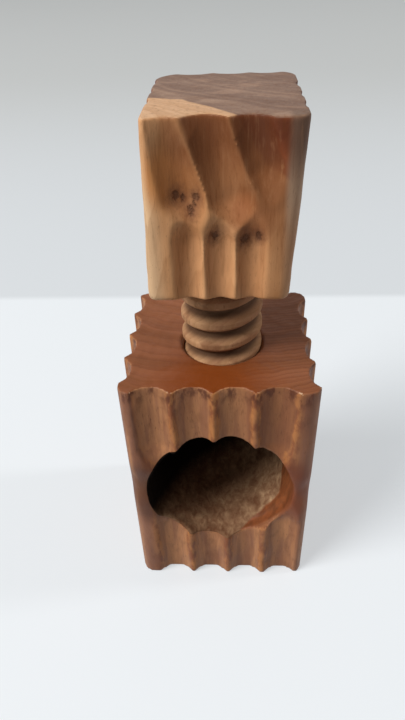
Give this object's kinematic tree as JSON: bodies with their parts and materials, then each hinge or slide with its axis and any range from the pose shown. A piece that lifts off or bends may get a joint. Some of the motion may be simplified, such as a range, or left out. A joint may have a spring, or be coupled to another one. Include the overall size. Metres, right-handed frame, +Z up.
{
  "type": "screw nutcracker",
  "caption": "Wooden screw nutcracker: a fluted block with a nut chamber open to the front, and a carved handle that turns a coarse wooden screw down into the chamber.",
  "frame": {"origin": "centre of the block's flat base", "axes": "+Z up along the block's height and the screw; the front, with the mouth of the nut chamber, faces -Y; +X to the right seen from the front"},
  "size_m": [0.06, 0.056, 0.1645],
  "materials": {
    "block_wood": "reddish-brown stained and varnished hardwood, satin",
    "screw_wood": "pale tan bare hardwood, matt",
    "handle_wood": "tan and brown figured hardwood, oiled, satin"
  },
  "bodies": {
    "base_block": {"block": "block_wood"},
    "screw_tip": {"screw_nose": "screw_wood"},
    "turning_screw": {"screw": "screw_wood", "handle": "handle_wood"}
  },
  "joints": [
    {"name": "screw_travel", "type": "slide", "parent": "base_block", "child": "screw_tip", "axis": [0, 0, 1], "range_m": [-0.0274, 0.0255]},
    {"name": "screw_turn", "type": "hinge", "parent": "screw_tip", "child": "turning_screw", "pos_m": [0.0007, -0.0012, 0.0904], "axis": [0, 0, 1], "range_deg": [-1351, 1257]}
  ],
  "couplings": [
    {"joint": "screw_travel", "follows": "screw_turn", "m_per_rad": 0.0011618}
  ]
}
